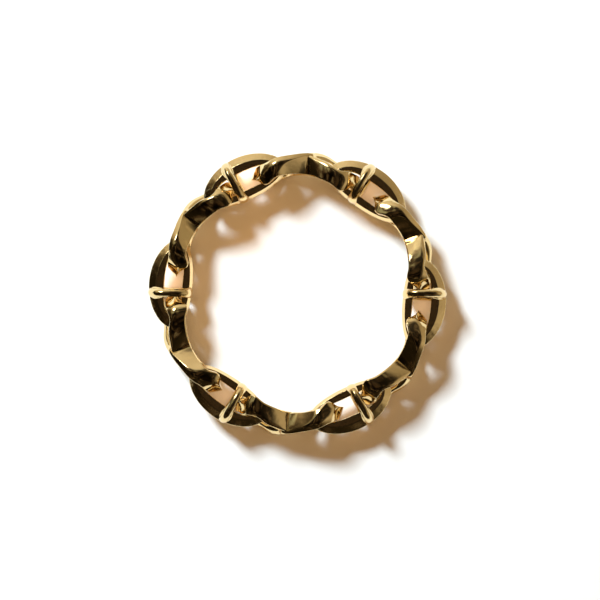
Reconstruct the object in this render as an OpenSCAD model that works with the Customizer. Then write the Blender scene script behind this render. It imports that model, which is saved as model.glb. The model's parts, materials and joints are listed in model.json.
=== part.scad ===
// Infinity cross ring: a closed band of figure-eight links standing upright,
// joined by flat oval links that each carry an upright bar.
// The ring lies on its side, its finger axis is +Z and its lowest point is at z = 0.

/* [Ring] */
// Clear diameter across the flat links, which is the finger size
inner_d = 17.34; // [17:0.02:18]
// Height of the band along the finger
band_h = 3.6; // [3.5:0.1:4]
// How far each bar stands from the middle of its flat link, in degrees round the ring
bar_offset = 4.6; // [3.8:0.1:4.8]

/* [Flat link] */
// Half length of the flat link's outline
flat_half_len = 3.65; // [3.5:0.05:3.8]
// Full width of the flat link from finger side to outside
flat_w = 3.6; // [3.5:0.05:3.7]
// Thickness of the flat link along the finger
flat_t = 1.12; // [0.9:0.02:1.2]
// Half length of the window
window_half_len = 2.55; // [2.5:0.05:2.7]
// Width of the window at mid height
window_w = 1.42; // [1.41:0.01:1.5]

/* [Bar] */
// Width of the bar across its top
bar_w = 0.66; // [0.5:0.02:0.8]
// Width of the bar over the outside
bar_outer_w = 0.78; // [0.66:0.02:1.2]
// Reach of the solder fillets on both sides of the bar's base, over the flat link's outer slopes
bar_fillet = 0.5; // [0:0.05:0.6]
// Width of the bar's rounded foot on the finger side
bar_foot_w = 0.92; // [0.7:0.02:1]
// Thickness of the bar over the window
bar_t = 0.54; // [0.4:0.02:0.6]
// How far the bar's lower half leans round the ring, in degrees
bar_lean = 1.2; // [0:0.1:1.2]

/* [Infinity link] */
// Half thickness of the strand on the side that faces the hole
strand_h = 0.39; // [0.36:0.01:0.4]
// Bevel on the strand's edges round the hole
hole_bevel = 0.26; // [0.15:0.01:0.3]

/* [Hidden] */

gold = [0.83, 0.66, 0.36];
mid_z = band_h / 2;
finger_r = inner_d / 2;
mid_r = finger_r + flat_w / 2;

// Links of each kind, and the angle from one to the next
pairs = 6;
pitch = 360 / pairs;

// The upright link's crossing stands this far clockwise of the bar
crossing_turn = pitch / 2 + bar_offset;

// Columns of the two strand tables. Each row is a section of the strand, from the link's tip
// to its crossing: turn round the ring in degrees, height as a share of the strand's crest,
// depth of its inner and outer side over the finger, how much further out these two sides lie
// on the link's lower half, height of the outer face's shoulders over the strand's centre line,
// the ridge between them as a share of the way outward and as a height, and the width and drop
// of the bevels on the finger side and on the outer side.
TURN = 0;
HEIGHT = 1;
INNER = 2;
OUTER = 3;
TUCK = 4;
BULGE = 5;
SHOULDER = 6;
RIDGE_AT = 7;
RIDGE = 8;
BEVEL_W = 9;
BEVEL_DROP = 10;
SIDE_W = 11;
SIDE_DROP = 12;

// The strand that passes outside at the crossing. Its finger-side bevel grows to a wide
// slope where the strand rolls outward.
over_strand = [
    [22.8, 0.00, 1.00, 2.21, 0.00, 0.00, 0.18, 0.33, 0.75, 0.08, 0.18, 0.14, 0.12],
    [22.4, 0.37, 1.06, 2.24, 0.00, 0.00, 0.33, 0.36, 0.62, 0.10, 0.20, 0.66, 0.34],
    [20.4, 0.71, 0.62, 2.28, 0.00, 0.00, 0.38, 0.60, 0.49, 0.08, 0.09, 0.62, 0.32],
    [17.7, 0.87, 0.72, 2.36, 0.00, 0.00, 0.41, 0.40, 0.45, 0.08, 0.08, 0.44, 0.27],
    [13.9, 1.00, 1.06, 2.57, 0.00, 0.00, 0.43, 0.40, 0.45, 0.34, 0.14, 0.40, 0.28],
    [11.0, 0.95, 1.10, 2.66, 0.00, 0.06, 0.42, 0.50, 0.43, 0.84, 0.33, 0.38, 0.26],
    [ 8.0, 0.77, 1.14, 2.72, 0.00, 0.20, 0.45, 0.50, 0.46, 1.10, 0.43, 0.34, 0.23],
    [ 4.2, 0.43, 1.16, 2.85, 0.00, 0.19, 0.51, 0.50, 0.52, 1.36, 0.34, 0.24, 0.16],
    [ 0.0, 0.00, 1.18, 2.97, 0.00, 0.00, 0.56, 0.50, 0.59, 1.52, 0.12, 0.10, 0.08]
];

// The strand that passes on the finger side at the crossing
under_strand = [
    [22.8, 0.00, 1.00, 2.21, 0.00, 0.00, 0.18, 0.33, 0.75, 0.08, 0.18, 0.14, 0.12],
    [22.2, 0.36, 1.06, 2.22, 0.00, 0.00, 0.33, 0.36, 0.62, 0.10, 0.20, 0.55, 0.32],
    [20.6, 0.60, 0.92, 2.20, 0.00, 0.00, 0.38, 0.50, 0.48, 0.08, 0.09, 0.60, 0.32],
    [18.9, 0.81, 0.60, 2.18, 0.00, 0.00, 0.40, 0.50, 0.46, 0.07, 0.07, 0.60, 0.30],
    [17.7, 0.93, 0.44, 2.14, 0.02, 0.00, 0.41, 0.50, 0.45, 0.07, 0.07, 0.54, 0.29],
    [14.3, 1.00, 0.60, 2.00, 0.14, 0.00, 0.42, 0.50, 0.45, 0.12, 0.07, 0.22, 0.14],
    [10.0, 0.89, 0.81, 2.29, 0.22, 0.00, 0.43, 0.50, 0.46, 0.12, 0.07, 0.22, 0.14],
    [ 5.2, 0.53, 0.98, 2.54, 0.12, 0.00, 0.50, 0.50, 0.53, 0.12, 0.07, 0.20, 0.13],
    [ 0.0, 0.00, 1.08, 2.76, 0.00, 0.00, 0.56, 0.50, 0.59, 0.07, 0.07, 0.07, 0.07]
];
strand_steps = 2;
crest_ridge = 0.45;
crest_h = mid_z - crest_ridge;

// Flat link: outer radius, and the widths of its sloping rim outside, inside and at the ends
rim_r = finger_r + flat_w;
rim_out = 0.62;
rim_in = 0.24;
rim_end = 0.55;
rim_h = 0.13;
slope_h = 0.36;
// The window's outer wall from the rim at mid height, and how far its walls draw back above
wall_out = 1.31;
wall_swell = 0.06;
bend_r = 16.9;
outline_power = 2;
rim_power = 2.1;
window_power = 3.5;
flat_steps = 24;

// Bar: its collar's half width, squareness, wall and clearance under the band's height
collar_half_w = flat_w / 2 + 0.05;
collar_power = 2.5;
bar_wall = 0.45;
bar_gap = 0.02;
bar_sides = 8;
bar_steps = 20;

// The row on the other half of the link, turned over about the radius through the crossing
function turned(row) = [for (k = [0 : len(row) - 1])
    k < INNER ? -row[k] : k == INNER ? row[k] + row[TUCK] : k == OUTER ? row[k] + row[BULGE] : row[k]];
// The row of the other strand just beyond a tip, seen from this strand
function below(row) = [for (k = [0 : len(row) - 1]) k == HEIGHT ? -row[k] : row[k]];
function beyond(row) = [for (k = [0 : len(row) - 1]) k == TURN ? -row[k] : row[k]];

// A smooth curve through four neighbouring rows, at part t of the way from b to c
function through(a, b, c, d, t) = 0.5 * (
    2 * b + (c - a) * t + (2 * a - 5 * b + 4 * c - d) * t * t + (3 * b - a - 3 * c + d) * t * t * t
);

// All sections of a strand from tip to tip, worked out from the rows of its upper half
function sections(rows, other) = let (
    all = concat(rows, [for (k = [len(rows) - 2 : -1 : 0]) turned(rows[k])]),
    path = concat([below(other[1])], all, [beyond(other[1])]),
    last = len(all) - 1
) [for (k = [0 : last * strand_steps])
    let (i = min(floor(k / strand_steps), last - 1), t = k / strand_steps - i)
    through(path[i], path[i + 1], path[i + 2], path[i + 3], t)];

// Outline of the strand across its run, as [depth, height over its centre line]. The face
// with the shoulder, ridge and bevel is on the outside of the figure eight, so it changes
// from the upper side to the lower side at the crossing, where both sides have it.
function outer_face(row) = let (
    near = row[INNER] + row[BEVEL_W],
    far = row[OUTER] - row[SIDE_W]
) [
    [row[INNER], row[SHOULDER] - row[BEVEL_DROP]],
    [near, row[SHOULDER]],
    [near + row[RIDGE_AT] * (far - near), row[RIDGE]],
    [far, row[SHOULDER]],
    [row[OUTER], row[SHOULDER] - row[SIDE_DROP]]
];
function hole_face(row) = [
    [row[INNER], strand_h - hole_bevel],
    [row[INNER] + hole_bevel, strand_h],
    [(row[INNER] + row[OUTER]) / 2, strand_h],
    [row[OUTER] - hole_bevel, strand_h],
    [row[OUTER], strand_h - hole_bevel]
];
function outline(row, up_outside, down_outside) = let (
    up = up_outside ? outer_face(row) : hole_face(row),
    down = down_outside ? outer_face(row) : hole_face(row)
) concat(up, [for (k = [len(down) - 1 : -1 : 0]) [down[k][0], -down[k][1]]]);

// A point of the band from its run round the ring, its depth over the finger and its height
// over the middle
function on_ring(run, depth, z) = let (turn = run / mid_r * 180 / PI, r = finger_r + depth)
    [r * cos(turn), r * sin(turn), mid_z + z];
function run_of(row) = row[TURN] * PI / 180 * mid_r;
function height_of(row) = row[HEIGHT] * crest_h;

// Direction across the strand, square to its run, as [round the ring, up]. It is level at the tips.
function across(rows, k) = let (n = len(rows) - 1)
    k == 0 || k == n ? [1, 0] :
    let (
        a = rows[k - 1],
        b = rows[k + 1],
        run = [run_of(b) - run_of(a), height_of(b) - height_of(a)]
    ) [run[1], -run[0]] / norm(run);

// A solid through rings of points, each with the same number of points
module skin(rings, closed = false, flip = false) {
    n = len(rings[0]);
    m = len(rings);
    points = [for (ring = rings) for (p = ring) p];
    walls = [for (i = [0 : m - (closed ? 1 : 2)], j = [0 : n - 1])
        let (a = i * n, b = ((i + 1) % m) * n, k = (j + 1) % n)
        for (face = [[a + j, b + k, b + j], [a + j, a + k, b + k]]) face];
    caps = closed ? [] : [
        [for (j = [n - 1 : -1 : 0]) j],
        [for (j = [0 : n - 1]) (m - 1) * n + j]
    ];
    faces = concat(walls, caps);
    polyhedron(
        points,
        flip ? [for (face = faces) [for (k = [len(face) - 1 : -1 : 0]) face[k]]] : faces,
        convexity = 8
    );
}

// A strand from tip to tip. Side 1 starts at the anticlockwise tip, side -1 at the clockwise one.
module strand(rows, other, side) {
    fine = sections(rows, other);
    half = (len(fine) - 1) / 2;
    rings = [for (k = [0 : len(fine) - 1])
        let (row = fine[k], up = across(fine, k))
        [for (p = outline(row, k <= half, k >= half))
            on_ring(side * (run_of(row) + p[1] * up[0]), p[0], height_of(row) + p[1] * up[1])]];
    skin(rings, flip = side < 0);
}

module infinity_link(n) {
    color(gold)
        rotate([0, 0, n * pitch - crossing_turn])
        union() {
            strand(over_strand, under_strand, 1);
            strand(under_strand, over_strand, -1);
        }
}

// A closed oval: half length round the ring, half width across it, middle radius, squareness
function oval(turn, half_len, half_wid, middle, power) = let (
    y = half_len * sign(cos(turn)) * pow(abs(cos(turn)), 2 / power),
    x = half_wid * sign(sin(turn)) * pow(abs(sin(turn)), 2 / power)
) [middle + x - y * y / (2 * bend_r), y];

// The flat link's section at one place round its oval: outline, slope, ridge and window edge
function flat_section(turn) = let (
    edge = oval(turn, flat_half_len, flat_w / 2, rim_r - flat_w / 2, outline_power),
    ridge = oval(turn, flat_half_len - rim_end, (flat_w - rim_out - rim_in) / 2,
        rim_r - (flat_w + rim_out - rim_in) / 2, rim_power),
    lip = oval(turn, window_half_len + wall_swell, window_w / 2 + wall_swell,
        rim_r - wall_out - window_w / 2, window_power),
    hole = oval(turn, window_half_len, window_w / 2, rim_r - wall_out - window_w / 2, window_power),
    slope = (edge + ridge) / 2,
    side = [[edge, rim_h], [slope, slope_h], [ridge, flat_t / 2], [lip, flat_t / 2]]
) concat(
    [for (p = side) [p[0][0], p[0][1], mid_z + p[1]]],
    [[hole[0], hole[1], mid_z]],
    [for (k = [len(side) - 1 : -1 : 0]) [side[k][0][0], side[k][0][1], mid_z - side[k][1]]]
);

// The bar is a collar round the flat link's waist, seen here in its own upright plane
function collar(turn, half_wid, half_h) = [
    mid_r + half_wid * sign(cos(turn)) * pow(abs(cos(turn)), 2 / collar_power),
    half_h * sign(sin(turn)) * pow(abs(sin(turn)), 2 / collar_power)
];
function bar_width(turn) = bar_w
    + (bar_outer_w - bar_w) * pow(max(cos(turn), 0), 2)
    + (bar_foot_w - bar_w) * pow(max(-cos(turn), 0), 3);
function fillet_width(turn) = bar_fillet * max(cos(turn), 0) * abs(sin(turn)) * 2;
function bar_section(turn) = let (
    out = collar(turn, collar_half_w, mid_z - bar_gap),
    in = collar(turn, collar_half_w - bar_wall, mid_z - bar_gap - bar_t),
    top_w = bar_width(turn) / 2,
    fillet_w = fillet_width(turn)
) [for (k = [0 : bar_sides - 1]) let (
        a = k * 360 / bar_sides,
        w = top_w + fillet_w * max(-cos(a), 0),
        p = in + (out - in) * (1 + cos(a)) / 2,
        lean = bar_lean * (mid_z - p[1]) / band_h,
        round_turn = bar_offset - lean + w * sin(a) / p[0] * 180 / PI
    ) [p[0] * cos(round_turn), p[0] * sin(round_turn), mid_z + p[1]]];

module cross_link(n) {
    color(gold)
        rotate([0, 0, (n - 1) * pitch - bar_offset])
        union() {
            skin([for (k = [0 : flat_steps - 1]) flat_section(-k * 360 / flat_steps)], closed = true);
            skin([for (k = [0 : bar_steps - 1]) bar_section(-k * 360 / bar_steps)], closed = true);
        }
}

for (n = [1 : pairs])
    infinity_link(n);
for (n = [1 : pairs])
    cross_link(n);
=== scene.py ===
"""Infinity cross ring: a band of polished gold links lying on a pale floor.

Upright figure-eight links alternate with flat oval links that carry an upright bar. Each link is
worked out once as a skin over rings of points, and turned copies of it go round the finger.
"""

import json

import bpy
import numpy as np
from bpy.props import FloatProperty, FloatVectorProperty, IntProperty, PointerProperty
from mathutils import Matrix, Vector

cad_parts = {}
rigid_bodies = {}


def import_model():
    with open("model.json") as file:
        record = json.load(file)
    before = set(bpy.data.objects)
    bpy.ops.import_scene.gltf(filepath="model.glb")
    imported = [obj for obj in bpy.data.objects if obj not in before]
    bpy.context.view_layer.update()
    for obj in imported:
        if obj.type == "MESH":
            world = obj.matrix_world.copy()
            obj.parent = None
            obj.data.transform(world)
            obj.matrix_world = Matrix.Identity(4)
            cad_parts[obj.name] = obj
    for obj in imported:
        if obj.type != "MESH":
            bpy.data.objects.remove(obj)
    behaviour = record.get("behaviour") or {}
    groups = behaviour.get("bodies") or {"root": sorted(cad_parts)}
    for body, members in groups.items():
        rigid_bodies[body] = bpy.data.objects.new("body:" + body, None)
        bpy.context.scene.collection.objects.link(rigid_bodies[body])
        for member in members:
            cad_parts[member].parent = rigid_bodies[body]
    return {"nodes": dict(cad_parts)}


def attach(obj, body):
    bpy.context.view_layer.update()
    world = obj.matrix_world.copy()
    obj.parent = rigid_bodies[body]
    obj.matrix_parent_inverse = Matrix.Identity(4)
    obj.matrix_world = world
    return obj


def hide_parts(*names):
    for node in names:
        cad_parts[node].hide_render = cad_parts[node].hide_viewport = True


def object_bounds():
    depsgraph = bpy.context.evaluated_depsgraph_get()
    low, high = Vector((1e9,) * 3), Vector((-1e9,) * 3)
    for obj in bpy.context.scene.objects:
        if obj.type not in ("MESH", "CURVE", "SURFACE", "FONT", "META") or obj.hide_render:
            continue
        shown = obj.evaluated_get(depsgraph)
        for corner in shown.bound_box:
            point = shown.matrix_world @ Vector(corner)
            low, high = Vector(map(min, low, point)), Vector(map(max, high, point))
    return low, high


bl_info = {
    "name": "Infinity cross ring",
    "version": (1, 0, 0),
    "blender": (4, 5, 0),
    "location": "View3D > Sidebar > Ring",
    "description": "Builds a ring of figure-eight and cross links in polished gold on a studio floor",
    "category": "Object",
}

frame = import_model()
CAD_LOW, CAD_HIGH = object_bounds()

MM = 0.001
BODY = "root"

# Links of each kind, and the angle from one to the next
PAIRS = sum(name.startswith("cross_link") for name in frame["nodes"])
PITCH = 2 * np.pi / PAIRS

# Columns of the two strand tables. Each row is a section of the strand, from the link's tip to
# its crossing: turn round the ring in degrees, height as a share of the strand's crest, depth of
# its inner and outer side over the finger, how much further out these two sides lie on the
# link's lower half, height of the outer face's shoulders over the strand's centre line, the ridge
# between them as a share of the way outward and as a height, and the width and drop of the bevels
# on the finger side and on the outer side, in millimetres.
(TURN, HEIGHT, INNER, OUTER, TUCK, BULGE, SHOULDER,
 RIDGE_AT, RIDGE, BEVEL_W, BEVEL_DROP, SIDE_W, SIDE_DROP) = range(13)

# The strand that passes outside at the crossing. Its finger-side bevel grows to a wide slope.
OVER_STRAND = np.array([
    [22.8, 0.00, 1.00, 2.21, 0.00, 0.00, 0.18, 0.33, 0.75, 0.08, 0.18, 0.14, 0.12],
    [22.4, 0.37, 1.06, 2.24, 0.00, 0.00, 0.33, 0.36, 0.62, 0.10, 0.20, 0.66, 0.34],
    [20.4, 0.71, 0.62, 2.28, 0.00, 0.00, 0.38, 0.60, 0.49, 0.08, 0.09, 0.62, 0.32],
    [17.7, 0.87, 0.72, 2.36, 0.00, 0.00, 0.41, 0.40, 0.45, 0.08, 0.08, 0.44, 0.27],
    [13.9, 1.00, 1.06, 2.57, 0.00, 0.00, 0.43, 0.40, 0.45, 0.34, 0.14, 0.40, 0.28],
    [11.0, 0.95, 1.10, 2.66, 0.00, 0.06, 0.42, 0.50, 0.43, 0.84, 0.33, 0.38, 0.26],
    [8.0, 0.77, 1.14, 2.72, 0.00, 0.20, 0.45, 0.50, 0.46, 1.10, 0.43, 0.34, 0.23],
    [4.2, 0.43, 1.16, 2.85, 0.00, 0.19, 0.51, 0.50, 0.52, 1.36, 0.34, 0.24, 0.16],
    [0.0, 0.00, 1.18, 2.97, 0.00, 0.00, 0.56, 0.50, 0.59, 1.52, 0.12, 0.10, 0.08],
])

# The strand that passes on the finger side at the crossing
UNDER_STRAND = np.array([
    [22.8, 0.00, 1.00, 2.21, 0.00, 0.00, 0.18, 0.33, 0.75, 0.08, 0.18, 0.14, 0.12],
    [22.2, 0.36, 1.06, 2.22, 0.00, 0.00, 0.33, 0.36, 0.62, 0.10, 0.20, 0.55, 0.32],
    [20.6, 0.60, 0.92, 2.20, 0.00, 0.00, 0.38, 0.50, 0.48, 0.08, 0.09, 0.60, 0.32],
    [18.9, 0.81, 0.60, 2.18, 0.00, 0.00, 0.40, 0.50, 0.46, 0.07, 0.07, 0.60, 0.30],
    [17.7, 0.93, 0.44, 2.14, 0.02, 0.00, 0.41, 0.50, 0.45, 0.07, 0.07, 0.54, 0.29],
    [14.3, 1.00, 0.60, 2.00, 0.14, 0.00, 0.42, 0.50, 0.45, 0.12, 0.07, 0.22, 0.14],
    [10.0, 0.89, 0.81, 2.29, 0.22, 0.00, 0.43, 0.50, 0.46, 0.12, 0.07, 0.22, 0.14],
    [5.2, 0.53, 0.98, 2.54, 0.12, 0.00, 0.50, 0.50, 0.53, 0.12, 0.07, 0.20, 0.13],
    [0.0, 0.00, 1.08, 2.76, 0.00, 0.00, 0.56, 0.50, 0.59, 0.07, 0.07, 0.07, 0.07],
])

# Half thickness of the strand on the side that faces the hole, the bevels there, the ridge's
# height at the crest, and the turn over which the outer face changes sides at the crossing
STRAND_H = 0.39 * MM
HOLE_BEVEL = 0.26 * MM
CREST_RIDGE = 0.45 * MM
CREASE_BLEND = np.radians(2.5)

# How far the rounding of the strand's corners reaches along their edges. On three corners it goes
# with a measure of the section: the ridge's rise, the finger-side bevel's width and the outer
# bevel's width. Their rows hold that measure and the reach.
EDGE_REACH = 0.03 * MM
RIDGE_REACH = np.array([(0.04, 0.5), (0.2, 0.06)]) * MM
BEVEL_REACH = np.array([(0.3, 0.03), (0.8, 0.4)]) * MM
SIDE_REACH = np.array([(0.1, 0.03), (0.3, 0.25)]) * MM

# Flat link: widths of its sloping rim outside, inside and at the ends, heights of the rim and of
# its slope's middle, how far the window's wall lies from the rim and how far the window widens
# from its waist, and the radius to which the link's middle line is bent
RIM_OUT = 0.62 * MM
RIM_IN = 0.24 * MM
RIM_END = 0.55 * MM
RIM_H = 0.13 * MM
SLOPE_H = 0.36 * MM
WALL_OUT = 1.31 * MM
WALL_SWELL = 0.06 * MM
BEND_R = 16.9 * MM

# Squareness of the flat link's outline, ridge and window, the reach of the rounding on the
# corners of its section, from the rim over the top and the window to the rim below, and the
# number of sections
EDGE_POWER = 2
RIDGE_POWER = 2.1
WINDOW_POWER = 3.5
FLAT_REACH = np.array([0.04, 0.2, 0.05, 0.04, 0.3, 0.04, 0.05, 0.2, 0.04]) * MM
FLAT_STEPS = 160

# Bar: how far its collar stands out, its squareness, wall and clearance under the band's height,
# the squareness of its section, its lean round the ring, the number of sections and their points
COLLAR_OVER = 0.05 * MM
COLLAR_POWER = 2.5
BAR_WALL = 0.45 * MM
BAR_GAP = 0.02 * MM
BAR_POWER = 1.7
BAR_LEAN = np.radians(1.2)
COLLAR_STEPS = 96
COLLAR_SIDES = 40

# The bar stands this far anticlockwise of the middle of its flat link
BAR_OFFSET = np.radians(4.6)

# Edges that turn by more than this many degrees stay crisp
SHARP_EDGE = 33

# Polish: how wide the soft waves and the fine marks are in millimetres, the share of the marks,
# the height of the relief in micrometres on the two kinds of link, and the strengths of the
# marks between which the gold grows dull
WAVE_MM = 0.6
MARK_MM = 0.05
MARK_SHARE = 0.12
INFINITY_RELIEF = 12
CROSS_RELIEF = 42
DULL_RANGE = (0.35, 0.75)
DULL_GAIN = 0.1

# The key light that throws the shadows, the fill light, and the light that the ring throws back
# inside it: azimuth and elevation in degrees, distance and side in metres, and colour
KEY = (129, 41, 0.5, 0.115, (0.7, 0.87, 1))
FILL = (300, 80, 0.6, 0.5, (1, 0.55, 0.21))
BOUNCE = (0, 90, 0.0035, 0.01, (1, 0.5, 0.15))

# The small lights over the flat links' windows: radius, height, sizes outward and round the
# ring, colour, and their strength away from the key light with what they gain facing it
OVER_WINDOW_R = 10.3 * MM
OVER_WINDOW_Z = 1.2 * MM
OVER_WINDOW_SIZE = (1.1 * MM, 4 * MM)
OVER_WINDOW_COLOUR = (1, 0.62, 0.36)
OVER_WINDOW_BASE = 0.85
OVER_WINDOW_GAIN = 1.5

# Floor: half its side in metres, and how dull and how glossy its paper is
FLOOR_HALF = 3
FLOOR_ROUGHNESS = 0.9
FLOOR_GLOSS = 0.1

# Camera: the azimuth that it tilts towards in degrees, its distance, and the width of what it
# sees and the point that it looks at, both at that distance
CAMERA_AZIMUTH = -54
CAMERA_DISTANCE = 0.45
FRAME_WIDTH = 0.0494
CAMERA_AIM = (0.21 * MM, -0.53 * MM, 1.8 * MM)
SENSOR_WIDTH = 36

# The bright window that the gold mirrors: its direction in degrees, its strength, and how far
# from its middle it ends and is at its full
WINDOW_AZIMUTH = 126
WINDOW_ELEVATION = 38
WINDOW_LEVEL = 9
WINDOW_SPREAD = (11, 2)

# Brightness of the room's walls round the horizon, by azimuth in degrees, with the tint of the
# dim and the bright ones, and how it falls off with the height above the horizon
WALL_GLOW = [(-180, 0.01), (-54, 0.01), (-38, 0.1), (-24, 0.6), (-8, 0.48), (22, 0.4), (56, 0.3),
             (85, 0.74), (104, 0.9), (126, 0.82), (138, 0.45), (148, 0.02), (180, 0.01)]
DIM_TINT = np.array([1, 0.72, 0.32])
BRIGHT_TINT = np.array([1, 0.93, 0.8])
WALL_HEIGHT = [(0, 1), (30, 1), (37, 0.25), (45, 0.02), (90, 0.01)]

# Colours of the dull ceiling by the strength of its clouds, the clouds' size, detail and
# roughness, how much stronger they are round the window, and the dim glow overhead
CEILING = [(0.48, (0.0015, 0.001, 0.0005)), (0.55, (0.012, 0.007, 0.004)), (0.61, (0.06, 0.038, 0.022)),
           (0.67, (0.13, 0.11, 0.075)), (0.75, (0.34, 0.35, 0.26))]
CLOUDS = {"Scale": 4.5, "Detail": 4, "Roughness": 0.6}
HALO_CLOUDS = 0.17
HALO_SPREAD = (38, 12)
ZENITH_GLOW = (0.034, 0.022, 0.013)
ZENITH_SPREAD = (12, 0.5)


class RingSizes(bpy.types.PropertyGroup):
    finger_d: FloatProperty(
        name="Finger diameter", description="Clear diameter across the flat links",
        default=17.34 * MM, min=15 * MM, max=21 * MM, unit="LENGTH", precision=5)
    flat_w: FloatProperty(
        name="Flat link width", description="Width of the flat link from finger side to outside",
        default=3.6 * MM, min=3 * MM, max=4.2 * MM, unit="LENGTH", precision=5)
    flat_half_len: FloatProperty(
        name="Flat link half length", description="Half length of the flat link's outline",
        default=3.65 * MM, min=3.4 * MM, max=3.9 * MM, unit="LENGTH", precision=5)
    flat_t: FloatProperty(
        name="Flat link thickness", description="Thickness of the flat link along the finger",
        default=1.12 * MM, min=0.8 * MM, max=1.3 * MM, unit="LENGTH", precision=5)
    window_half_len: FloatProperty(
        name="Window half length", description="Half length of the flat link's window",
        default=2.55 * MM, min=2.3 * MM, max=2.8 * MM, unit="LENGTH", precision=5)
    window_w: FloatProperty(
        name="Window width", description="Width of the flat link's window",
        default=1.42 * MM, min=1.3 * MM, max=1.7 * MM, unit="LENGTH", precision=5)
    bar_w: FloatProperty(
        name="Bar width", description="Width of the bar across its top",
        default=0.66 * MM, min=0.5 * MM, max=0.8 * MM, unit="LENGTH", precision=5)
    bar_outer_w: FloatProperty(
        name="Bar width outside", description="Width of the bar over the outside",
        default=0.78 * MM, min=0.66 * MM, max=1.2 * MM, unit="LENGTH", precision=5)
    bar_fillet: FloatProperty(
        name="Bar fillet", description="Reach of the solder fillets at the bar's base",
        default=0.5 * MM, min=0, max=0.6 * MM, unit="LENGTH", precision=5)
    bar_foot_w: FloatProperty(
        name="Bar foot width", description="Width of the bar's rounded foot on the finger side",
        default=0.92 * MM, min=0.7 * MM, max=1.1 * MM, unit="LENGTH", precision=5)
    bar_t: FloatProperty(
        name="Bar thickness", description="Thickness of the bar over the window",
        default=0.54 * MM, min=0.4 * MM, max=0.6 * MM, unit="LENGTH", precision=5)
    strand_steps: IntProperty(
        name="Steps along a strand", description="Sections between two rows of a strand table",
        default=8, min=2, max=12)
    corner_steps: IntProperty(
        name="Steps round a corner", description="Points on each rounded corner of a section",
        default=6, min=3, max=9)


class GoldFinish(bpy.types.PropertyGroup):
    colour: FloatVectorProperty(
        name="Gold colour", description="Colour of the gold seen face on",
        subtype="COLOR", size=3, min=0, max=1, default=(0.83, 0.64, 0.33))
    roughness: FloatProperty(
        name="Roughness", description="Roughness of the polished gold",
        default=0.045, min=0, max=1, subtype="FACTOR")
    scratch: FloatProperty(
        name="Polishing marks", description="Strength of the fine marks left by polishing",
        default=0.25, min=0, max=1, subtype="FACTOR")


class StudioSettings(bpy.types.PropertyGroup):
    floor_colour: FloatVectorProperty(
        name="Floor colour", description="Colour of the pale floor",
        subtype="COLOR", size=3, min=0, max=1, default=(0.86, 0.83, 0.79))
    key_power: FloatProperty(
        name="Key light", description="Power of the soft key light in watts",
        default=4.6, min=0, unit="POWER")
    fill_power: FloatProperty(
        name="Fill light", description="Power of the warm fill light in watts",
        default=1.15, min=0, unit="POWER")
    bounce_power: FloatProperty(
        name="Bounce", description="Power of the warm light that the ring throws back inside it",
        default=0.0002, min=0, unit="POWER", precision=5)
    window_bounce: FloatProperty(
        name="Window bounce", description="Power of the warm light that a flat link throws down its window",
        default=0.00002, min=0, unit="POWER", precision=6)
    glow: FloatProperty(
        name="Side glow", description="Brightness of the soft glow round the lit side of the room",
        default=1.0, min=0, subtype="FACTOR")
    view_tilt: FloatProperty(
        name="View tilt", description="Angle of the camera from straight overhead",
        default=np.radians(2.0), min=0, max=np.radians(80), unit="ROTATION")


def smooth_loop(knots, rows, at):
    """A closed curve through the rows: a cubic between each two knots, with slope and bend shared.

    The bends m at the knots solve  h0 m0 + 2 (h0 + h1) m1 + h1 m2 = 6 (slope1 - slope0), where
    h is a span's length and slope the row's change over it.
    """
    count = len(rows)
    span = np.diff(knots)
    back = np.roll(span, 1)
    slope = (np.roll(rows, -1, axis=0) - rows) / span[:, None]
    here = np.arange(count)
    system = np.zeros((count, count))
    system[here, here] = 2 * (back + span)
    system[here, (here + 1) % count] = span
    system[here, here - 1] = back
    bend = np.linalg.solve(system, 6 * (slope - np.roll(slope, 1, axis=0)))
    near = np.clip(np.searchsorted(knots, at, side="right") - 1, 0, count - 1)
    far = (near + 1) % count
    h = span[near][:, None]
    t = (at - knots[near])[:, None]
    u = h - t
    return ((bend[near] * u ** 3 + bend[far] * t ** 3) / (6 * h)
            + (rows[near] / h - bend[near] * h / 6) * u
            + (rows[far] / h - bend[far] * h / 6) * t)


def round_corners(outline, reach, steps):
    """Each corner p of the closed outlines becomes the arc (1-u)^2 a + 2u(1-u) p + u^2 b.

    a and b lie on its two edges, at the given reach from p or just short of half way along.
    """
    def along(edge):
        length = np.linalg.norm(edge, axis=-1)
        share = np.minimum(reach / np.maximum(length, 1e-9), 0.49)
        return outline + edge * share[..., None]

    a = along(np.roll(outline, 1, axis=1) - outline)[:, :, None]
    b = along(np.roll(outline, -1, axis=1) - outline)[:, :, None]
    u = np.linspace(0, 1, steps)[:, None]
    arc = (1 - u) ** 2 * a + 2 * u * (1 - u) * outline[:, :, None] + u ** 2 * b
    return arc.reshape(len(outline), -1, outline.shape[2])


def closed_skin(name, rings):
    """A mesh over rings of points, ring i to ring i + 1 and the last to the first, facing outwards."""
    m, n = rings.shape[:2]
    i, j = np.meshgrid(np.arange(m), np.arange(n), indexing="ij")
    i_next, j_next = (i + 1) % m, (j + 1) % n
    faces = np.stack([i * n + j, i * n + j_next, i_next * n + j_next, i_next * n + j], axis=-1)
    faces = faces.reshape(-1, 4)
    points = rings.reshape(-1, 3)
    a, b, c, d = (points[faces[:, k]] for k in range(4))
    volume = np.einsum("ij,ij->i", a, np.cross(b, c) + np.cross(c, d)).sum()
    if volume < 0:
        faces = faces[:, ::-1]
    mesh = bpy.data.meshes.new(name)
    mesh.vertices.add(len(points))
    mesh.vertices.foreach_set("co", points.ravel())
    mesh.loops.add(faces.size)
    mesh.loops.foreach_set("vertex_index", faces.ravel())
    mesh.polygons.add(len(faces))
    mesh.polygons.foreach_set("loop_start", np.arange(0, faces.size, 4))
    mesh.update(calc_edges=True)
    mesh.validate()
    return mesh


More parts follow.
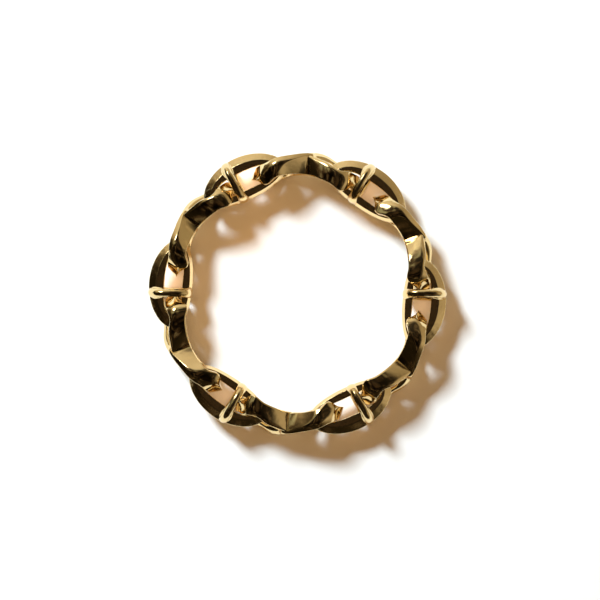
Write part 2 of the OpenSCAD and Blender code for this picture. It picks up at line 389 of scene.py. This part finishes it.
def fused(name, meshes):
    """One closed mesh round everything that the given closed meshes fill, crossing stretches too."""
    scene = bpy.context.scene
    base = bpy.data.objects.new(name, meshes[0])
    scene.collection.objects.link(base)
    others = bpy.data.collections.new(name + "_others")
    scene.collection.children.link(others)
    for mesh in meshes[1:]:
        others.objects.link(bpy.data.objects.new(mesh.name, mesh))
    union = base.modifiers.new("union", "BOOLEAN")
    union.operation = "UNION"
    union.solver = "EXACT"
    union.operand_type = "COLLECTION"
    union.collection = others
    union.use_self = True
    solid = bpy.data.meshes.new_from_object(base.evaluated_get(bpy.context.evaluated_depsgraph_get()))
    for piece in [base, *others.objects]:
        bpy.data.objects.remove(piece)
    bpy.data.collections.remove(others)
    return solid


def shade(mesh):
    """Smooth shading, with sharp edges kept crisp."""
    mesh.polygons.foreach_set("use_smooth", np.ones(len(mesh.polygons), bool))
    mesh.set_sharp_from_angle(angle=np.radians(SHARP_EDGE))


def figure_eight(sizes):
    """Rows of both strands as one closed loop, in radians and metres, and where each half's outside lies.

    The over strand runs from the anticlockwise tip over the top to the clockwise one, and the
    under strand back. The half behind a crossing is the first half turned over about it.
    """
    mid_r = sizes.finger_d / 2 + sizes.flat_w / 2
    crest = (CAD_HIGH.z - CAD_LOW.z) / 2 - CREST_RIDGE
    unit = np.array([np.radians(1), crest, MM, MM, MM, MM, MM, 1, MM, MM, MM, MM, MM])

    def both_halves(table):
        lower = table[-2:0:-1].copy()
        lower[:, [TURN, HEIGHT]] *= -1
        lower[:, [INNER, OUTER]] += lower[:, [TUCK, BULGE]]
        return np.vstack([table, lower])

    over, under = both_halves(OVER_STRAND), both_halves(UNDER_STRAND)
    under[:, TURN] *= -1
    rows = np.vstack([over, under]) * unit
    track = np.column_stack([rows[:, TURN] * mid_r, rows[:, HEIGHT]])
    knots = np.append(0, np.cumsum(np.linalg.norm(np.roll(track, -1, axis=0) - track, axis=1)))
    steps = np.arange(len(rows) * sizes.strand_steps) / sizes.strand_steps
    at = np.interp(steps, np.arange(len(knots)), knots)
    fine = smooth_loop(knots, rows, at)
    crossings = knots[[len(OVER_STRAND) - 1, len(over) + len(UNDER_STRAND) - 1]]
    return fine, at, crossings, mid_r


def strand_faces(rows):
    """Corners of the strand's outer face and hole face, as depth over the finger and height."""
    inner, outer, shoulder = rows[:, INNER], rows[:, OUTER], rows[:, SHOULDER]
    near, far = inner + rows[:, BEVEL_W], outer - rows[:, SIDE_W]
    flat = np.full_like(inner, STRAND_H)
    outer_face = np.stack([
        np.column_stack([inner, shoulder - rows[:, BEVEL_DROP]]),
        np.column_stack([near, shoulder]),
        np.column_stack([near + rows[:, RIDGE_AT] * (far - near), rows[:, RIDGE]]),
        np.column_stack([far, shoulder]),
        np.column_stack([outer, shoulder - rows[:, SIDE_DROP]]),
    ], axis=1)
    hole_face = np.stack([
        np.column_stack([inner, flat - HOLE_BEVEL]),
        np.column_stack([inner + HOLE_BEVEL, flat]),
        np.column_stack([(inner + outer) / 2, flat]),
        np.column_stack([outer - HOLE_BEVEL, flat]),
        np.column_stack([outer, flat - HOLE_BEVEL]),
    ], axis=1)
    return outer_face, hole_face


def infinity_rings(sizes):
    """Rings of points of the upright link, as one loop that crosses itself.

    A point at depth d over the finger and height e over the strand's centre line lies at the
    centre line's place plus e along the direction square to its run, at radius finger_r + d.
    The face on the figure eight's outside changes sides at each crossing, where both sides have it.
    """
    rows, at, crossings, mid_r = figure_eight(sizes)
    run, height = rows[:, TURN] * mid_r, rows[:, HEIGHT]
    ahead_run = np.roll(run, -1) - np.roll(run, 1)
    ahead_up = np.roll(height, -1) - np.roll(height, 1)
    length = np.hypot(ahead_run, ahead_up)
    across = np.column_stack([ahead_up, -ahead_run]) / length[:, None]

    blend = CREASE_BLEND * mid_r
    first, second = crossings

    def ease(t):
        t = np.clip(t, 0, 1)
        return (t ** 2 * (3 - 2 * t))[:, None, None]

    outer_face, hole_face = strand_faces(rows)
    outside = outer_face - hole_face
    up = hole_face + outside * ease(np.maximum(first + blend - at, at - second + blend) / blend)
    down = hole_face + outside * ease(np.minimum(at - first + blend, second + blend - at) / blend)
    outline = np.concatenate([up, down[:, ::-1] * [1, -1]], axis=1)

    edge = np.full(len(rows), EDGE_REACH)
    bevel = np.interp(rows[:, BEVEL_W], *BEVEL_REACH.T)
    ridge = np.interp(rows[:, RIDGE] - rows[:, SHOULDER], *RIDGE_REACH.T)
    side = np.interp(rows[:, SIDE_W], *SIDE_REACH.T)
    reach = np.column_stack([edge, bevel, ridge, side, edge])
    outline = round_corners(outline, np.hstack([reach, reach[:, ::-1]]), sizes.corner_steps)

    depth, level = outline[..., 0], outline[..., 1]
    turn = (run[:, None] + level * across[:, 0, None]) / mid_r
    radius = sizes.finger_d / 2 + depth
    middle = (CAD_LOW.z + CAD_HIGH.z) / 2
    up_z = middle + height[:, None] + level * across[:, 1, None]
    return np.stack([radius * np.cos(turn), radius * np.sin(turn), up_z], axis=-1)


def oval(turn, half_len, half_wid, middle, power):
    """A bent oval: |y / half_len|^power + |x / half_wid|^power = 1, its middle line an arc of BEND_R."""
    y = half_len * np.sign(np.cos(turn)) * np.abs(np.cos(turn)) ** (2 / power)
    x = half_wid * np.sign(np.sin(turn)) * np.abs(np.sin(turn)) ** (2 / power)
    return np.column_stack([middle + x - y * y / (2 * BEND_R), y])


def flat_link_rings(sizes):
    """Rings of the flat link: at each turn, the section's corners lie on four ovals, above and below."""
    turn = np.arange(FLAT_STEPS) * 2 * np.pi / FLAT_STEPS
    rim_r = sizes.finger_d / 2 + sizes.flat_w
    middle = (CAD_LOW.z + CAD_HIGH.z) / 2
    edge = oval(turn, sizes.flat_half_len, sizes.flat_w / 2, rim_r - sizes.flat_w / 2, EDGE_POWER)
    ridge = oval(turn, sizes.flat_half_len - RIM_END, (sizes.flat_w - RIM_OUT - RIM_IN) / 2,
                 rim_r - (sizes.flat_w + RIM_OUT - RIM_IN) / 2, RIDGE_POWER)
    window_r = rim_r - WALL_OUT - sizes.window_w / 2
    lip = oval(turn, sizes.window_half_len + WALL_SWELL, sizes.window_w / 2 + WALL_SWELL,
               window_r, WINDOW_POWER)
    hole = oval(turn, sizes.window_half_len, sizes.window_w / 2, window_r, WINDOW_POWER)
    heights = [RIM_H, SLOPE_H, sizes.flat_t / 2, sizes.flat_t / 2]
    corners = [edge, (edge + ridge) / 2, ridge, lip]
    top = np.stack([np.column_stack([c, np.full(FLAT_STEPS, h)]) for c, h in zip(corners, heights)], axis=1)
    waist = np.column_stack([hole, np.zeros(FLAT_STEPS)])[:, None]
    outline = np.concatenate([top, waist, top[:, ::-1] * [1, 1, -1]], axis=1) + [0, 0, middle]
    return round_corners(outline, FLAT_REACH, sizes.corner_steps)


def collar_rings(sizes):
    """Rings of the bar's collar: a squarish oval round the flat link's waist, in its upright plane.

    Across the bar its section is |s|^p + |t|^p = 1 between the collar's inner and outer oval.
    """
    turn = (np.arange(COLLAR_STEPS) * 2 * np.pi / COLLAR_STEPS)[:, None]
    mid_r = sizes.finger_d / 2 + sizes.flat_w / 2
    mid_z = (CAD_HIGH.z - CAD_LOW.z) / 2

    def collar(half_wid, half_h):
        x = mid_r + half_wid * np.sign(np.cos(turn)) * np.abs(np.cos(turn)) ** (2 / COLLAR_POWER)
        return x, half_h * np.sign(np.sin(turn)) * np.abs(np.sin(turn)) ** (2 / COLLAR_POWER)

    half_w = sizes.flat_w / 2 + COLLAR_OVER
    out_x, out_z = collar(half_w, mid_z - BAR_GAP)
    in_x, in_z = collar(half_w - BAR_WALL, mid_z - BAR_GAP - sizes.bar_t)
    side = (np.arange(COLLAR_SIDES) * 2 * np.pi / COLLAR_SIDES)[None, :]
    t = np.sign(np.cos(side)) * np.abs(np.cos(side)) ** (2 / BAR_POWER)
    s = np.sign(np.sin(side)) * np.abs(np.sin(side)) ** (2 / BAR_POWER)
    x = in_x + (out_x - in_x) * (1 + t) / 2
    z = in_z + (out_z - in_z) * (1 + t) / 2
    width = (sizes.bar_w
             + (sizes.bar_outer_w - sizes.bar_w) * np.clip(np.cos(turn), 0, 1) ** 2
             + (sizes.bar_foot_w - sizes.bar_w) * np.clip(-np.cos(turn), 0, 1) ** 3)
    fillet = sizes.bar_fillet * np.clip(np.cos(turn), 0, 1) * np.abs(np.sin(turn)) * 2
    lean = BAR_LEAN * (mid_z - z) / (2 * mid_z)
    angle = BAR_OFFSET - lean + (width / 2 + fillet * np.clip(-t, 0, 1)) * s / x
    return np.stack([x * np.cos(angle), x * np.sin(angle), z + mid_z + CAD_LOW.z], axis=-1)


def node_group(name, inputs, outputs):
    """An empty shader group with the given named sockets, each with its type and default."""
    group = bpy.data.node_groups.new(name, "ShaderNodeTree")
    for label, kind, default in inputs:
        socket = group.interface.new_socket(label, in_out="INPUT", socket_type=kind)
        if default is not None:
            socket.default_value = default
    for label, kind in outputs:
        group.interface.new_socket(label, in_out="OUTPUT", socket_type=kind)
    return group, group.nodes.new("NodeGroupInput"), group.nodes.new("NodeGroupOutput")


def polish_group():
    """Marks of polishing: a soft waviness, fine lines in changing directions, and a roughness mask."""
    group, given, result = node_group(
        "Polishing marks",
        [("Position", "NodeSocketVector", None), ("Wave size mm", "NodeSocketFloat", WAVE_MM),
         ("Mark size mm", "NodeSocketFloat", MARK_MM)],
        [("Height", "NodeSocketFloat"), ("Dullness", "NodeSocketFloat")])
    nodes, links = group.nodes, group.links

    per_mm = nodes.new("ShaderNodeVectorMath")
    per_mm.operation = "SCALE"
    per_mm.inputs["Scale"].default_value = 1 / MM
    links.new(given.outputs["Position"], per_mm.inputs[0])

    def noise(size_socket, detail):
        scale = nodes.new("ShaderNodeMath")
        scale.operation = "DIVIDE"
        scale.inputs[0].default_value = 1
        links.new(size_socket, scale.inputs[1])
        field = nodes.new("ShaderNodeTexNoise")
        field.inputs["Detail"].default_value = detail
        links.new(per_mm.outputs["Vector"], field.inputs["Vector"])
        links.new(scale.outputs["Value"], field.inputs["Scale"])
        return field.outputs["Fac"]

    wave = noise(given.outputs["Wave size mm"], 1)
    marks = noise(given.outputs["Mark size mm"], 3)
    share = nodes.new("ShaderNodeMix")
    share.inputs["Factor"].default_value = MARK_SHARE
    links.new(wave, share.inputs["A"])
    links.new(marks, share.inputs["B"])
    links.new(share.outputs["Result"], result.inputs["Height"])
    links.new(marks, result.inputs["Dullness"])
    return group


def gold_material(name, finish, relief_um):
    """Polished gold, its colour set on the shader, with the polishing marks as bump and dullness."""
    material = bpy.data.materials.new(name)
    material.use_nodes = True
    nodes, links = material.node_tree.nodes, material.node_tree.links
    shader = nodes["Principled BSDF"]
    shader.inputs["Base Color"].default_value = (*finish.colour, 1)
    shader.inputs["Metallic"].default_value = 1
    place = nodes.new("ShaderNodeTexCoord")
    marks = nodes.new("ShaderNodeGroup")
    marks.node_tree = polish_marks()
    links.new(place.outputs["Object"], marks.inputs["Position"])
    dull = nodes.new("ShaderNodeMapRange")
    dull.inputs["From Min"].default_value, dull.inputs["From Max"].default_value = DULL_RANGE
    dull.inputs["To Min"].default_value = finish.roughness
    dull.inputs["To Max"].default_value = finish.roughness + DULL_GAIN * finish.scratch
    links.new(marks.outputs["Dullness"], dull.inputs["Value"])
    links.new(dull.outputs["Result"], shader.inputs["Roughness"])
    bump = nodes.new("ShaderNodeBump")
    bump.inputs["Strength"].default_value = 1
    bump.inputs["Distance"].default_value = relief_um * 1e-6
    links.new(marks.outputs["Height"], bump.inputs["Height"])
    links.new(bump.outputs["Normal"], shader.inputs["Normal"])
    return material


def polish_marks():
    """The shared group of polishing marks, made on first use."""
    return bpy.data.node_groups.get("Polishing marks") or polish_group()


def place_links(kind, master, first_turn, material):
    """Turned copies of one link go round the ring, each riding on the body and replacing its node."""
    for n in range(PAIRS):
        mesh = master.copy()
        mesh.transform(Matrix.Rotation(first_turn + n * PITCH, 4, "Z"))
        mesh.materials.clear()
        mesh.materials.append(material)
        link = bpy.data.objects.new(f"{kind}_{n + 1}_gold", mesh)
        bpy.context.scene.collection.objects.link(link)
        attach(link, BODY)
        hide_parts(f"{kind}_{n + 1}")
    bpy.data.meshes.remove(master)


class AddInfinityLinks(bpy.types.Operator):
    """Add the upright figure-eight links"""
    bl_idname = "ring.add_infinity_links"
    bl_label = "Add infinity links"

    def execute(self, context):
        sizes, finish = context.scene.ring_sizes, context.scene.ring_gold
        loop = closed_skin("infinity_loop", infinity_rings(sizes))
        master = fused("infinity_link", [loop])
        shade(master)
        material = gold_material("Infinity gold", finish, INFINITY_RELIEF)
        place_links("infinity_link", master, PITCH / 2 - BAR_OFFSET, material)
        return {"FINISHED"}


class AddCrossLinks(bpy.types.Operator):
    """Add the flat links with their upright bars"""
    bl_idname = "ring.add_cross_links"
    bl_label = "Add cross links"

    def execute(self, context):
        sizes, finish = context.scene.ring_sizes, context.scene.ring_gold
        link = closed_skin("flat_link", flat_link_rings(sizes))
        bar = closed_skin("bar", collar_rings(sizes))
        master = fused("cross_link", [link, bar])
        shade(master)
        material = gold_material("Cross gold", finish, CROSS_RELIEF)
        place_links("cross_link", master, -BAR_OFFSET, material)
        return {"FINISHED"}


def direction(azimuth, elevation):
    """The way from the ring to a point of the room, from its azimuth and elevation in degrees."""
    az, el = np.radians(azimuth), np.radians(elevation)
    return Vector((np.cos(el) * np.cos(az), np.cos(el) * np.sin(az), np.sin(el)))


def area_light(name, place, rotation, size, power, colour):
    """A rectangular light that neither the camera nor the gold sees."""
    data = bpy.data.lights.new(name, "AREA")
    data.shape = "RECTANGLE"
    data.size, data.size_y = size
    data.energy = power
    data.color = colour
    light = bpy.data.objects.new(name, data)
    light.location = place
    light.rotation_euler = rotation
    light.visible_camera = False
    light.visible_glossy = False
    bpy.context.scene.collection.objects.link(light)


def soft_light(name, power, azimuth, elevation, distance, side, colour):
    """A square light at the given direction from the ring, facing it."""
    place = direction(azimuth, elevation) * distance
    area_light(name, place, (-place).to_track_quat("-Z", "Y").to_euler(), (side, side), power, colour)


def window_light(n, strength):
    """The light that shines straight down through the window of one flat link.

    Its power is the given one times  base + gain max(cos(angle to the key light), 0)^2.
    """
    turn = n * PITCH - BAR_OFFSET
    facing_key = max(np.cos(turn - np.radians(KEY[0])), 0)
    place = (OVER_WINDOW_R * np.cos(turn), OVER_WINDOW_R * np.sin(turn), OVER_WINDOW_Z)
    power = strength * (OVER_WINDOW_BASE + OVER_WINDOW_GAIN * facing_key ** 2)
    area_light(f"Window bounce {n + 1}", place, (0, 0, turn), OVER_WINDOW_SIZE, power, OVER_WINDOW_COLOUR)


def overhead_camera(tilt):
    """A long lens that looks down at the ring, tilted from overhead towards the camera's azimuth."""
    data = bpy.data.cameras.new("Camera")
    data.sensor_width = SENSOR_WIDTH
    data.lens = SENSOR_WIDTH * CAMERA_DISTANCE / FRAME_WIDTH
    data.clip_start = 0.01
    data.clip_end = 20
    camera = bpy.data.objects.new("Camera", data)
    azimuth = np.radians(CAMERA_AZIMUTH)
    away = Vector((np.sin(tilt) * np.cos(azimuth), np.sin(tilt) * np.sin(azimuth), np.cos(tilt)))
    right = Vector((0, 1, 0)).cross(away).normalized()
    turn = Matrix((right, away.cross(right), away)).transposed().to_4x4()
    camera.matrix_world = Matrix.Translation(Vector(CAMERA_AIM) + away * CAMERA_DISTANCE) @ turn
    bpy.context.scene.collection.objects.link(camera)
    bpy.context.scene.camera = camera


def ramp(nodes, stops, blend="B_SPLINE"):
    """A colour ramp with the given places and colours."""
    node = nodes.new("ShaderNodeValToRGB")
    node.color_ramp.interpolation = blend
    bands = node.color_ramp.elements
    while len(bands) < len(stops):
        bands.new(0.5)
    for band, (place, colour) in zip(bands, stops):
        band.position = place
        band.color = (*colour, 1)
    return node


def studio_world(strength):
    """A room that glows along its horizon on one side, with a bright window and a dull ceiling."""
    world = bpy.data.worlds.new("Studio")
    world.use_nodes = True
    nodes, links = world.node_tree.nodes, world.node_tree.links

    def feed(socket, value):
        if isinstance(value, bpy.types.NodeSocket):
            links.new(value, socket)
        else:
            socket.default_value = value

    def maths(operation, *values):
        node = nodes.new("ShaderNodeMath")
        node.operation = operation
        for socket, value in zip(node.inputs, values):
            feed(socket, value)
        return node.outputs["Value"]

    def vector_maths(operation, a, b):
        node = nodes.new("ShaderNodeVectorMath")
        node.operation = operation
        feed(node.inputs[0], a)
        feed(node.inputs["Scale"] if operation == "SCALE" else node.inputs[1], b)
        return node.outputs["Value" if operation == "DOT_PRODUCT" else "Vector"]

    def soft_disc(cosine, spread, level):
        node = nodes.new("ShaderNodeMapRange")
        node.interpolation_type = "SMOOTHERSTEP"
        links.new(cosine, node.inputs["Value"])
        feed(node.inputs["From Min"], np.cos(np.radians(spread[0])))
        feed(node.inputs["From Max"], np.cos(np.radians(spread[1])))
        feed(node.inputs["To Max"], level)
        return node.outputs["Result"]

    way = nodes.new("ShaderNodeTexCoord").outputs["Generated"]
    split = nodes.new("ShaderNodeSeparateXYZ")
    links.new(way, split.inputs["Vector"])
    round_turn = maths("DIVIDE", maths("ARCTAN2", split.outputs["Y"], split.outputs["X"]), 2 * np.pi)
    round_turn = maths("ADD", round_turn, 0.5)
    rise = maths("DIVIDE", maths("ARCSINE", split.outputs["Z"]), np.pi / 2)

    walls = ramp(nodes, [((azimuth + 180) / 360, level * (DIM_TINT + (BRIGHT_TINT - DIM_TINT) * level))
                         for azimuth, level in WALL_GLOW])
    links.new(round_turn, walls.inputs["Fac"])
    height = ramp(nodes, [(elevation / 90, [level] * 3) for elevation, level in WALL_HEIGHT])
    links.new(rise, height.inputs["Fac"])
    glow = vector_maths("SCALE", walls.outputs["Color"], height.outputs["Color"])
    glow = vector_maths("SCALE", glow, strength)

    clouds = nodes.new("ShaderNodeTexNoise")
    links.new(way, clouds.inputs["Vector"])
    for label, value in CLOUDS.items():
        feed(clouds.inputs[label], value)

    towards = vector_maths("DOT_PRODUCT", way, direction(WINDOW_AZIMUTH, WINDOW_ELEVATION))
    ceiling = ramp(nodes, CEILING, "LINEAR")
    halo = soft_disc(towards, HALO_SPREAD, HALO_CLOUDS)
    links.new(maths("ADD", clouds.outputs["Fac"], halo), ceiling.inputs["Fac"])
    pane = vector_maths("SCALE", (1, 1, 1), soft_disc(towards, WINDOW_SPREAD, WINDOW_LEVEL))
    zenith = vector_maths("SCALE", ZENITH_GLOW, soft_disc(split.outputs["Z"], ZENITH_SPREAD, 1))

    lit = vector_maths("ADD", glow, ceiling.outputs["Color"])
    room = vector_maths("ADD", lit, vector_maths("ADD", pane, zenith))
    seen = nodes.new("ShaderNodeMix")
    seen.data_type = "RGBA"
    links.new(nodes.new("ShaderNodeLightPath").outputs["Is Camera Ray"], seen.inputs["Factor"])
    links.new(room, seen.inputs["A"])
    seen.inputs["B"].default_value = (1, 1, 1, 1)
    links.new(seen.outputs["Result"], nodes["Background"].inputs["Color"])
    return world


class AddStudio(bpy.types.Operator):
    """Add the pale floor, the soft lights and the camera"""
    bl_idname = "ring.add_studio"
    bl_label = "Add studio"

    def execute(self, context):
        studio = context.scene.ring_studio
        mesh = bpy.data.meshes.new("floor")
        corners = [(x * FLOOR_HALF, y * FLOOR_HALF, 0) for x, y in ((-1, -1), (1, -1), (1, 1), (-1, 1))]
        mesh.from_pydata(corners, [], [(0, 1, 2, 3)])
        floor = bpy.data.objects.new("floor", mesh)
        paper = bpy.data.materials.new("Pale floor")
        paper.use_nodes = True
        shader = paper.node_tree.nodes["Principled BSDF"]
        shader.inputs["Base Color"].default_value = (*studio.floor_colour, 1)
        shader.inputs["Roughness"].default_value = FLOOR_ROUGHNESS
        shader.inputs["Specular IOR Level"].default_value = FLOOR_GLOSS
        mesh.materials.append(paper)
        context.scene.collection.objects.link(floor)

        soft_light("Key", studio.key_power, *KEY)
        soft_light("Warm fill", studio.fill_power, *FILL)
        soft_light("Warm bounce", studio.bounce_power, *BOUNCE)
        for n in range(PAIRS):
            window_light(n, studio.window_bounce)
        context.scene.world = studio_world(studio.glow)

        overhead_camera(studio.view_tilt)
        context.scene.view_settings.view_transform = "Standard"
        return {"FINISHED"}


class RingPanel(bpy.types.Panel):
    """Sizes, finish and studio of the ring"""
    bl_idname = "VIEW3D_PT_infinity_cross_ring"
    bl_label = "Infinity cross ring"
    bl_space_type = "VIEW_3D"
    bl_region_type = "UI"
    bl_category = "Ring"

    def draw(self, context):
        layout = self.layout
        for group in (context.scene.ring_sizes, context.scene.ring_gold, context.scene.ring_studio):
            box = layout.box()
            for name in group.__annotations__:
                box.prop(group, name)
        for operator in OPERATORS:
            layout.operator(operator.bl_idname)


GROUPS = {"ring_sizes": RingSizes, "ring_gold": GoldFinish, "ring_studio": StudioSettings}
OPERATORS = (AddInfinityLinks, AddCrossLinks, AddStudio)
CLASSES = (*GROUPS.values(), *OPERATORS, RingPanel)


def register():
    for cls in CLASSES:
        bpy.utils.register_class(cls)
    for name, cls in GROUPS.items():
        setattr(bpy.types.Scene, name, PointerProperty(type=cls))


def unregister():
    for name in GROUPS:
        delattr(bpy.types.Scene, name)
    for cls in reversed(CLASSES):
        bpy.utils.unregister_class(cls)


def main():
    register()
    bpy.ops.ring.add_infinity_links()
    bpy.ops.ring.add_cross_links()
    bpy.ops.ring.add_studio()


if __name__ == "__main__":
    main()
